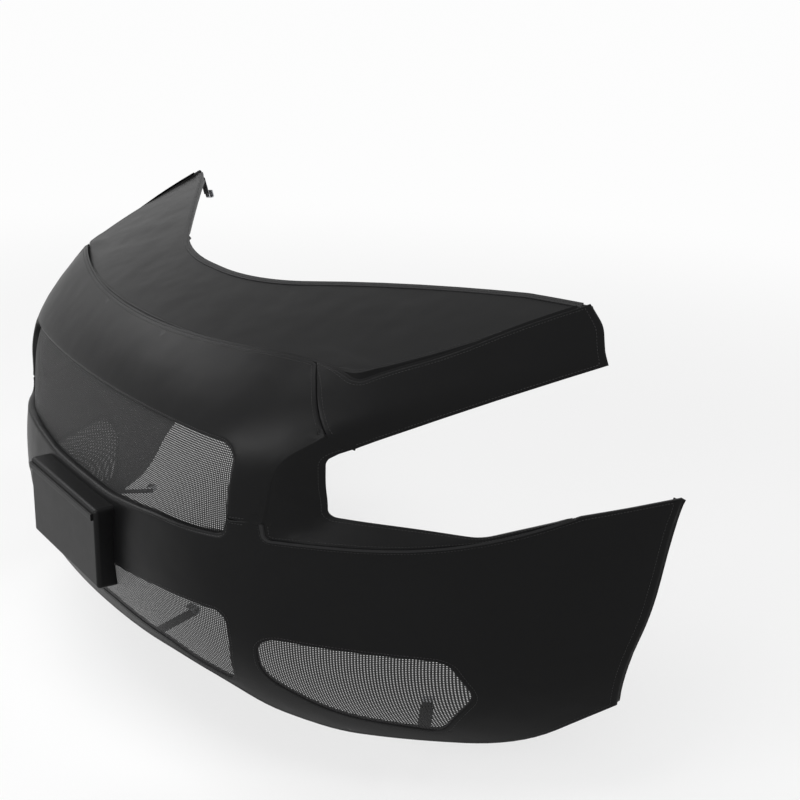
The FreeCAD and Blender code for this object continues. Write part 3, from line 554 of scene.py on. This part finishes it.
    def even_out(self):
        """Take the facets of the CAD face out of the cloth, without shrinking it."""
        shape = self.shape
        shape.verts.index_update()
        heights = np.array([v.co[self.axis] for v in shape.verts])
        ends = np.array([[v.index for v in e.verts] for e in shape.edges])
        gaps = np.array([max((e.verts[0].co - e.verts[1].co).length, SHORT) for e in shape.edges])
        outer = np.array([v.is_boundary for v in shape.verts])
        border = np.array([e.is_boundary for e in shape.edges])
        for factors, among, free in (((RELAX,) * OUTLINE_ROUNDS, border, outer),
                                     ((RELAX, RESTORE) * SMOOTH_ROUNDS, True, ~outer)):
            weights = among / gaps
            total = np.bincount(ends.ravel(), np.repeat(weights, 2), len(heights))
            for factor in factors:
                pull = (heights[ends[:, 1]] - heights[ends[:, 0]]) * weights
                up = np.bincount(ends[:, 0], pull, len(heights))
                down = np.bincount(ends[:, 1], pull, len(heights))
                heights = heights + factor * free * (up - down) / np.maximum(total, 1e-9)
        for vert, height in zip(shape.verts, heights):
            vert.co[self.axis] = height

    def level(self, vert):
        """Which loop of the rim a point is on: 0 at the edge, one more for each loop."""
        if vert.is_boundary:
            return 0
        return min((f.material_index or len(RIM) + 1) for f in vert.link_faces)

    def edge_points(self):
        """Points along the edges with the outward direction there and the panel's name."""
        self.shape.normal_update()
        return [(v.co.copy(), v.normal.copy(), self.name) for v in self.shape.verts if v.is_boundary]

    def edge_turns(self, edge, seams, turn):
        """Outward direction, radius and depth of the turn at each edge point, evened out along it."""
        turns = {}
        flange = BVHTree.FromPolygons(*plain_mesh("arch_flanges"))
        for vert in edge:
            gap = flange.find_nearest(vert.co)[3]
            if gap < FLANGE_NEAR:
                self.lean[vert] = gap + FLANGE_HOLD
            shared, partners = seams.at(vert.co, vert.normal)
            turns[vert] = (shared, *turn(vert.co, partners))
            if seams.meets(vert.co, self.name):
                self.met.add(vert)
        beside = {v: [e.other_vert(v) for e in v.link_edges if e.is_boundary] for v in edge}
        for _ in range(EVEN_ROUNDS):
            evened = {}
            for vert in edge:
                group = [turns[vert], turns[vert], *(turns[other] for other in beside[vert])]
                evened[vert] = (sum((item[0] for item in group), Vector()).normalized(),
                                sum(item[1] for item in group) / len(group),
                                sum(item[2] for item in group) / len(group))
            turns = evened
        return turns

    def roll(self, seams, turn, ripple):
        """Turn the edges in, and let the vinyl lie a little uneven."""
        shape = self.shape
        shape.normal_update()
        edge = [v for v in shape.verts if v.is_boundary]
        own = KDTree(len(edge))
        for number, vert in enumerate(edge):
            own.insert(vert.co, number)
        own.balance()
        turns = self.edge_turns(edge, seams, turn)
        moves = []
        folds = {}
        for vert in shape.verts:
            level = self.level(vert)
            _, number, distance = own.find(vert.co)
            shared, radius, end = turns[edge[number]]
            away = vert.normal
            depth = 0.0
            if end <= FLAT_BELOW:
                self.joined.add(vert)
            if level <= len(RIM):
                gap = vert[self.gap]
                away = shared.lerp(vert.normal, min(gap / max(radius, 1e-5), 1.0)).normalized()
                if level == 0:
                    depth = end
                    folds[vert] = shared
                elif gap < radius:
                    depth = min(end, radius - math.sqrt(radius * radius - (radius - gap) ** 2))
            slack = sum(height * noise.noise(vert.co * count + Vector(shift))
                        for count, shift, height in SLACK)
            calm = 1.0 - math.exp(-distance / CALM_RUN)
            lift = ripple * slack * calm + gathers(vert.co)
            moves.append(away * -depth + vert.normal * lift)
        for vert, move in zip(shape.verts, moves):
            vert.co += move
        self.fold_in(folds)

    def fold_in(self, folds):
        """The seam allowance, turned in from a rolled edge or laid under the next panel at a flat joint."""
        edges = [e for e in self.shape.edges if e.is_boundary]
        ways = {}
        for edge in edges:
            loop = edge.link_loops[0]
            span = loop.link_loop_next.vert.co - loop.vert.co
            for vert in edge.verts:
                ways.setdefault(vert, []).append(span.cross(loop.face.normal).normalized())
            edge.smooth = not self.joined.issuperset(edge.verts)
        made = bmesh.ops.extrude_edge_only(self.shape, edges=edges)["geom"]
        fresh = {v for v in made if isinstance(v, bmesh.types.BMVert)}
        for vert in fresh:
            old = next(v for edge in vert.link_edges for v in edge.verts if v in folds)
            meets = self.met.issuperset(v for edge in old.link_edges for v in edge.verts if v in folds)
            if old in self.lean:
                drop, lean = UNDERLAP_DROP, self.lean[old]
            elif old in self.joined:
                drop, lean = UNDERLAP_DROP, UNDERLAP if meets else 0.0
            else:
                drop, lean = ALLOWANCE, SEAM_LEAN if meets else 0.0
            vert.co = old.co - folds[old] * drop + sum(ways[old], Vector()).normalized() * lean
        for face in self.shape.faces:
            if any(v in fresh for v in face.verts):
                face.material_index = len(RIM) + 2

    def stitch_paths(self):
        """The loops that the stitches follow, each as a list of points and normals."""
        edges = [e for e in self.shape.edges if len(e.link_faces) == 2
                 and {f.material_index for f in e.link_faces} == {STITCH_LOOP, STITCH_LOOP + 1}
                 and not self.joined.issuperset(e.verts)]
        linked = {}
        for edge in edges:
            for one, other in (edge.verts, reversed(edge.verts)):
                linked.setdefault(one, []).append(other)
        seen = set()
        paths = []
        for start in sorted(linked, key=lambda v: (len(linked[v]) != 1, v.index)):
            if start in seen:
                continue
            path = [start]
            seen.add(start)
            while True:
                following = [v for v in linked[path[-1]] if v not in seen]
                if not following:
                    break
                path.append(following[0])
                seen.add(following[0])
            if path[0] in linked[path[-1]] and len(path) > 2:
                path.append(path[0])
            if len(path) > 3:
                paths.append([(v.co.copy(), v.normal.copy()) for v in path])
        return paths

    def finished(self, material, thickness=0.0, inside=None):
        """The panel as an object, with its wall made inwards."""
        for face in self.shape.faces:
            face.material_index = 0
            face.smooth = True
        self.shape.normal_update()
        out_way = sum(f.normal[self.axis] for f in self.shape.faces)
        if out_way * self.sign < 0:
            bmesh.ops.reverse_faces(self.shape, faces=self.shape.faces)
        data = bpy.data.meshes.new(self.name)
        self.shape.to_mesh(data)
        piece = bpy.data.objects.new(self.name, data)
        bpy.context.scene.collection.objects.link(piece)
        data.materials.append(material)
        if inside:
            data.materials.append(inside)
        if thickness:
            activate(piece)
            bpy.ops.object.modifier_add(type="SOLIDIFY")
            wall = piece.modifiers[-1]
            wall.thickness = thickness
            wall.offset = -1.0
            wall.use_even_offset = False
            wall.material_offset = 1 if inside else 0
            wall.material_offset_rim = 0
            bpy.ops.object.modifier_apply(modifier=wall.name)
            crisp_edges(data)
        return piece


def crisp_edges(data):
    """Keep sharp edges sharp under smooth shading."""
    shape = bmesh.new()
    shape.from_mesh(data)
    for edge in shape.edges:
        edge.smooth = edge.smooth and (len(edge.link_faces) != 2 or edge.calc_face_angle() < CRISP)
    shape.to_mesh(data)
    shape.free()


def activate(piece):
    """Make one object the only selected and the active one."""
    for other in bpy.context.selected_objects:
        other.select_set(False)
    piece.select_set(True)
    bpy.context.view_layer.objects.active = piece


def free_run(point, way, starts, ends, axes):
    """How far one can go in the flat from a point before meeting an edge."""
    origin = np.array([point[axes[0]], point[axes[1]]])
    ahead = np.array([way[axes[0]], way[axes[1]]])
    spans = ends - starts
    across = spans[:, 1] * ahead[0] - spans[:, 0] * ahead[1]
    across = np.where(np.abs(across) < 1e-12, 1e-12, across)
    gap = starts - origin
    run = (gap[:, 0] * spans[:, 1] - gap[:, 1] * spans[:, 0]) / across
    share = (gap[:, 0] * ahead[1] - gap[:, 1] * ahead[0]) / across
    met = run[(share > -1e-6) & (share < 1 + 1e-6) & (run > 1e-5)]
    return float(met.min()) if len(met) else 1.0


class Seams:
    """The edges of panels that meet, with the outward direction they share."""

    def __init__(self, cloths):
        self.points = [point for cloth in cloths for point in cloth.edge_points()]
        self.tree = KDTree(len(self.points))
        for number, point in enumerate(self.points):
            self.tree.insert(point[0], number)
        self.tree.balance()

    def at(self, place, own):
        """The shared direction at a place, and the names of the panels that meet there."""
        total = Vector()
        names = set()
        for _, number, distance in self.tree.find_range(place, SEAM_BLEND):
            _, normal, name = self.points[number]
            total += normal * (SEAM_BLEND - distance)
            if distance < SEAM_SEARCH:
                names.add(name.split("_")[0])
        total = total.normalized() if total.length > 1e-9 else own
        return (total if total.dot(own) > SEAM_AGREE else own), names

    def meets(self, place, name):
        """True where another panel's edge touches this place."""
        near = self.tree.find_range(place, SEAM_TOUCH)
        return any(self.points[number][2] != name for _, number, _ in near)


def smooth(share):
    """Ease from 0 to 1."""
    share = min(max(share, 0.0), 1.0)
    return share * share * (3 - 2 * share)


def edge_turn(sizes):
    """How an edge turns in: tight at a seam, wide round the grille, not at all at a flat joint."""
    opening = BVHTree.FromPolygons(*plain_mesh("grille_lip"))

    def turn(place, partners):
        flat = any(pair <= partners for pair in FLAT_JOINTS)
        reach = LIP_REACH[0] if flat else LIP_REACH[1]
        wide = smooth(LIP_START - opening.find_nearest(place)[3] / reach)
        radius = 0.0 if flat else sizes.seam_roll
        return (radius + (sizes.lip_roll - radius) * wide, radius + (sizes.lip_depth - radius) * wide)
    return turn


def gathers(place):
    """Height of the small folds where the vinyl is drawn round a corner."""
    height = 0.0
    for centre, along, length, width, rise in GATHERS:
        offset = Vector((abs(place.x), place.y, place.z)) - Vector(centre)
        way = Vector(along).normalized()
        run = offset.dot(way)
        side = (offset - way * run).length
        height += rise * math.exp(-(run / length) ** 2 - (side / width) ** 2)
    return height


def sew_panels(panels):
    """Vinyl panels that meet: cut, laid, rolled at their edges, walled and attached to the root."""
    sizes = bpy.context.scene.cover_sizes
    cloths = []
    for panel in panels:
        cloth = Cloth(panel.name, panel.nodes, panel.view)
        cloth.rim()
        cloth.grid(sizes.grid)
        cloth.lay()
        cloth.even_out()
        cloths.append(cloth)
    seams = Seams(cloths)
    turn = edge_turn(sizes)
    for cloth, panel in zip(cloths, panels):
        cloth.roll(seams, turn, sizes.ripple)
        cloth.shape.normal_update()
        STITCH_PATHS.extend(cloth.stitch_paths())
        piece = cloth.finished(FINISHES["vinyl"], sizes.vinyl, FINISHES["backing"])
        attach(piece, "root")
        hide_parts(*panel.nodes, *panel.hems)


def screen(name, node):
    """A mesh screen, one layer thick."""
    cloth = Cloth(name, [node], FRONT)
    cloth.grid(bpy.context.scene.cover_sizes.grid * SCREEN_GRID)
    cloth.lay()
    cloth.even_out()
    piece = cloth.finished(FINISHES["mesh"])
    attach(piece, "root")
    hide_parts(node)


class COVER_OT_finishes(bpy.types.Operator):
    """Mix the materials"""
    bl_idname = "cover.finishes"
    bl_label = "Materials"

    def execute(self, context):
        for name, recipe in RECIPES.items():
            FINISHES[name] = recipe(context.scene.cover_colours)
        return {"FINISHED"}


class COVER_OT_upper(bpy.types.Operator):
    """Lay the upper piece over the hood's nose"""
    bl_idname = "cover.upper"
    bl_label = "Upper piece"

    def execute(self, context):
        sew_panels([Panel("upper_panel", ["hood_panel"], PLAN, [], (1.53, 0.56), 0.34)])
        return {"FINISHED"}


class COVER_OT_lower(bpy.types.Operator):
    """Lay the panels of the lower piece and join them at their seams"""
    bl_idname = "cover.lower"
    bl_label = "Lower piece"

    def execute(self, context):
        panels = [Panel("nose_cloth", ["nose_panel"], FRONT, ["grille_lip"], (1.36, 0.42), 0.225),
                  Panel("bumper_cloth", ["bumper_panel", "pocket_yoke"], FRONT, ["bottom_hem"],
                        (2.36, 0.56), 0.66)]
        for side in SIDES:
            hems = ["flap_hems", "lamp_hems"] if side == "left" else []
            brow = f"brow_panel_{side}"
            bay = f"lamp_bay_panel_{side}"
            panels.append(Panel(f"brow_cloth_{side}", [brow], FRONT, hems, (0.62, 0.20), 0.056))
            panels.append(Panel(f"bay_cloth_{side}", [bay], FRONT, [], (0.52, 0.17), 0.032))
        sew_panels(panels)
        return {"FINISHED"}


class COVER_OT_screens(bpy.types.Operator):
    """Stretch the mesh screens behind their openings"""
    bl_idname = "cover.screens"
    bl_label = "Screens"

    def execute(self, context):
        screen("grille_mesh", "grille_screen")
        screen("lower_mesh", "lower_screens")
        return {"FINISHED"}


class COVER_OT_stitches(bpy.types.Operator):
    """Sew the rows of stitches along the seams and hems"""
    bl_idname = "cover.stitches"
    bl_label = "Stitches"

    def execute(self, context):
        sizes = context.scene.cover_sizes
        shape = bmesh.new()
        binding = BVHTree.FromPolygons(*plain_mesh("hood_rear_binding"))
        for path in STITCH_PATHS:
            sew(shape, [lift_onto(binding, *point) for point in path], sizes)
        STITCH_PATHS.clear()
        data = bpy.data.meshes.new("stitches")
        shape.to_mesh(data)
        shape.free()
        thread = bpy.data.objects.new("stitches", data)
        context.scene.collection.objects.link(thread)
        data.materials.append(FINISHES["thread"])
        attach(thread, "root")
        return {"FINISHED"}


def lift_onto(tape, place, normal):
    """A point of a row of stitches, brought to the top of the tape where the tape covers it."""
    top = tape.ray_cast(place + axis_vector(2, TAPE_LIFT), axis_vector(2, -1.0), TAPE_LIFT)[0]
    return (top or place, normal)


def sew(shape, path, sizes):
    """Stitches of one row, each a small faceted bead of thread."""
    pitch = sizes.stitch + sizes.stitch_gap
    length = 0.0
    due = pitch
    for (a, normal), (b, _) in zip(path, path[1:]):
        span = (b - a).length
        while span > 1e-7 and length + span >= due:
            share = (due - length) / span
            bead(shape, a.lerp(b, share), (b - a).normalized(), normal, sizes)
            due += pitch
        length += span


def bead(shape, centre, along, normal, sizes):
    """One stitch, drawn in at both ends."""
    side = along.cross(normal).normalized()
    half = sizes.stitch / 2
    wide = sizes.thread / 2
    rings = []
    for place, share in STITCH_RINGS:
        middle = centre + along * (half * place) + normal * (wide * 0.5 * share)
        if share:
            rings.append([shape.verts.new(middle + side * wide * x + normal * wide * y)
                          for x, y in STITCH_ROUND])
        else:
            rings.append([shape.verts.new(middle)])
    for one, other in zip(rings, rings[1:]):
        for i in range(len(STITCH_ROUND)):
            corners = [one[i % len(one)], other[i % len(other)], other[(i + 1) % len(other)],
                       one[(i + 1) % len(one)]]
            face = shape.faces.new(list(dict.fromkeys(corners)))
            face.smooth = True


# Finishes of the pieces that keep their CAD shape

HARDWARE = {"vinyl": ["plate_pocket", "pocket_lip", "hood_front_hem", "nose_top_hem", "arch_flanges"],
            "tape": ["hood_rear_binding", "ledge_piping"],
            "steel": ["strap_hooks"],
            "eyelet": ["arch_eyelets"],
            "webbing": [f"{strap}_{side}" for side in SIDES
                        for strap in ("strap_inner", "strap_outer", "tip_strap")]}


class COVER_OT_hardware(bpy.types.Operator):
    """Finish the pocket, straps, hooks and eyelets"""
    bl_idname = "cover.hardware"
    bl_label = "Pocket and hardware"

    def execute(self, context):
        for finish, nodes in HARDWARE.items():
            for node in nodes:
                NODES[node].data.materials.clear()
                NODES[node].data.materials.append(FINISHES[finish])
        return {"FINISHED"}


# Studio

CAMERA_PLACE = Vector((2.4996, -1.1034, 0.7572))
CAMERA_TURN = math.radians(54.77)       # from straight ahead
CAMERA_PITCH = math.radians(18.20)
CAMERA_ROLL = math.radians(1.24)
CLIP = (0.05, 100)
IMAGE = 800                             # pixels across the picture
FOCAL_PIXELS = 1415.2
OPTICAL_CENTRE = (412.9, 373.8)
SENSOR = 36.0                           # millimetres
WHITE = (1, 1, 1, 1)
FLOOR_SIZE = 60
FLOOR_GLOW = 0.62                       # share of plain white in the floor near the object
FLOOR_FAR_GLOW = 0.97                   # and far from it
FLOOR_FADE = (3.2, 1.9)                 # middle and half width of the change, in metres from the object
WORLD_LIGHT = 0.35
# Name, place, aim, width and height, and watts of each lamp
LAMPS = (("side", (-3.4, -1.3, 2.3), (0, 0, -0.1), (1.6, 1.6), 36.0),
         ("overhead", (0.3, -0.9, 3.2), (0, 0.1, -0.2), (2.4, 2.4), 70.0),
         ("front", (1.0, -3.9, 1.4), (0.2, 0, -0.2), (4.0, 0.9), 115.0),
         ("rear", (1.6, 3.2, 2.2), (0, 0.3, 0), (1.8, 1.8), 32.0))


class COVER_OT_stage(bpy.types.Operator):
    """Set the floor, the lights and the camera"""
    bl_idname = "cover.stage"
    bl_label = "Stage"

    def execute(self, context):
        scene = context.scene
        scene.view_settings.view_transform = "Standard"
        self.floor(scene)
        self.world(scene)
        self.lights(scene)
        self.camera(scene)
        return {"FINISHED"}

    def floor(self, scene):
        """A pale floor that keeps the object's shadow and fades to white."""
        drop = scene.cover_sizes.floor_drop
        bpy.ops.mesh.primitive_plane_add(size=FLOOR_SIZE, location=(0, 0, -drop))
        ground = bpy.context.active_object
        ground.name = "floor"
        look = Finish(bpy.data.materials.new("studio floor"))
        paint = look.paint(scene.cover_colours.floor)
        far = look.make("ShaderNodeVectorMath", {"operation": "LENGTH"}, {0: look.place()})[0]
        diffuse = look.make("ShaderNodeBsdfDiffuse", None, {"Color": paint})[0]
        glow = look.make("ShaderNodeEmission", None, {"Color": WHITE, "Strength": 1.0})[0]
        share = look.seen() * (FLOOR_GLOW + far.above(*FLOOR_FADE) * (FLOOR_FAR_GLOW - FLOOR_GLOW))
        look.show(look.make("ShaderNodeMixShader", None, {0: share, 1: diffuse, 2: glow})[0])
        ground.data.materials.append(look.owner)

    def world(self, scene):
        """White where it is seen, and dimmer as a light."""
        scene.world = bpy.data.worlds.new("studio")
        look = Finish(scene.world, "ShaderNodeOutputWorld")
        lit, white = (look.make("ShaderNodeBackground", None, {"Color": WHITE, "Strength": strength})[0]
                      for strength in (WORLD_LIGHT, 1.0))
        look.show(look.make("ShaderNodeMixShader", None, {0: look.seen(), 1: lit, 2: white})[0])

    def lights(self, scene):
        """Wide soft lamps round the object."""
        for name, place, aim, size, power in LAMPS:
            light = bpy.data.lights.new(name, "AREA")
            light.shape = "RECTANGLE"
            light.size, light.size_y = size
            light.energy = power
            lamp = bpy.data.objects.new(name, light)
            lamp.location = place
            lamp.rotation_mode = "QUATERNION"
            lamp.rotation_quaternion = (Vector(aim) - lamp.location).to_track_quat("-Z", "Y")
            scene.collection.objects.link(lamp)

    def camera(self, scene):
        """The camera where the photograph was taken from."""
        data = bpy.data.cameras.new("camera")
        camera = bpy.data.objects.new("camera", data)
        scene.collection.objects.link(camera)
        scene.camera = camera
        level = math.cos(CAMERA_PITCH)
        back = Vector((math.sin(CAMERA_TURN) * level, -math.cos(CAMERA_TURN) * level,
                       math.sin(CAMERA_PITCH)))
        right = (-back).cross(axis_vector(2)).normalized()
        up = right.cross(-back)
        c, s = math.cos(CAMERA_ROLL), math.sin(CAMERA_ROLL)
        axes = Matrix((right * c + up * s, up * c - right * s, back)).transposed()
        camera.matrix_world = Matrix.Translation(CAMERA_PLACE) @ axes.to_4x4()
        data.sensor_width = SENSOR
        data.lens = FOCAL_PIXELS / IMAGE * SENSOR
        data.shift_x = (IMAGE / 2 - OPTICAL_CENTRE[0]) / IMAGE
        data.shift_y = (OPTICAL_CENTRE[1] - IMAGE / 2) / IMAGE
        data.clip_start, data.clip_end = CLIP


class COVER_PT_panel(bpy.types.Panel):
    """Lists the cover's pieces"""
    bl_idname = "COVER_PT_panel"
    bl_label = "Front end cover"
    bl_space_type = "VIEW_3D"
    bl_region_type = "UI"
    bl_category = "Cover"

    def draw(self, context):
        for operator in OPERATORS:
            self.layout.operator(operator.bl_idname)
        for group in (context.scene.cover_sizes, context.scene.cover_colours):
            for name in group.bl_rna.properties.keys():
                if name not in ("rna_type", "name"):
                    self.layout.prop(group, name)


OPERATORS = (COVER_OT_finishes, COVER_OT_upper, COVER_OT_lower, COVER_OT_screens, COVER_OT_stitches,
             COVER_OT_hardware, COVER_OT_stage)
CLASSES = (CoverSizes, CoverColours, *OPERATORS, COVER_PT_panel)


def register():
    """Make the operators, the panel and the properties known."""
    for cls in CLASSES:
        bpy.utils.register_class(cls)
    bpy.types.Scene.cover_sizes = bpy.props.PointerProperty(type=CoverSizes)
    bpy.types.Scene.cover_colours = bpy.props.PointerProperty(type=CoverColours)


def unregister():
    """Take them away again."""
    del bpy.types.Scene.cover_colours
    del bpy.types.Scene.cover_sizes
    for cls in reversed(CLASSES):
        bpy.utils.unregister_class(cls)


def main():
    """Dress the cover, piece by piece."""
    register()
    bpy.ops.object.select_all(action="DESELECT")
    for operator in OPERATORS:
        group, name = operator.bl_idname.split(".")
        getattr(getattr(bpy.ops, group), name)()


if __name__ == "__main__":
    main()
